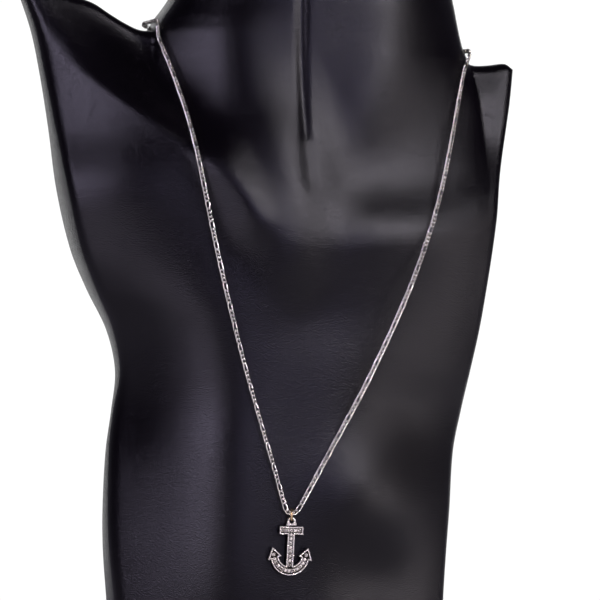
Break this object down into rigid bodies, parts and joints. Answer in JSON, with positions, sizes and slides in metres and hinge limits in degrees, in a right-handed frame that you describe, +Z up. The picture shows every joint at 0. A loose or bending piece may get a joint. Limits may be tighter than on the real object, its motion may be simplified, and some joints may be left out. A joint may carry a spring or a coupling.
{
  "type": "anchor pendant necklace on a neck bust",
  "caption": "Figaro chain necklace with a stone-set anchor pendant, worn by a plain black neck bust that stands on its flat base.",
  "frame": {"origin": "middle of the base's bounding rectangle, on the surface that the bust stands on", "axes": "+Z up, the bust faces -Y, +X to the viewer's right"},
  "size_m": [0.1519, 0.0695, 0.24],
  "materials": {
    "bust_skin": "satin fine-grained black moulding",
    "silver": "polished silver, darkened in the recesses",
    "gold_tone": "polished gold tone",
    "silver_setting": "cast silver, bright rim and darkened beds",
    "stone": "clear to pale grey cut stones"
  },
  "bodies": {
    "root": {"neck_bust": "bust_skin", "chain": "silver", "clasp": "silver", "jump_ring": "gold_tone", "anchor_setting": "silver_setting", "stock_stone_1": "stone", "stock_stone_2": "stone", "stock_stone_3": "stone", "stock_stone_4": "stone", "stock_stone_5": "stone", "shank_stone_1": "stone", "shank_stone_2": "stone", "shank_stone_3": "stone", "shank_stone_4": "stone", "shank_stone_5": "stone", "shank_stone_6": "stone", "shank_stone_7": "stone", "shank_stone_8": "stone", "arm_stone_1": "stone", "arm_stone_2": "stone", "arm_stone_3": "stone", "arm_stone_4": "stone", "arm_stone_5": "stone", "arm_stone_6": "stone", "arm_stone_7": "stone", "arm_stone_8": "stone", "arm_stone_9": "stone", "arm_stone_10": "stone", "arm_stone_11": "stone", "fluke_stone_left": "stone", "fluke_stone_right": "stone"}
  },
  "joints": []
}
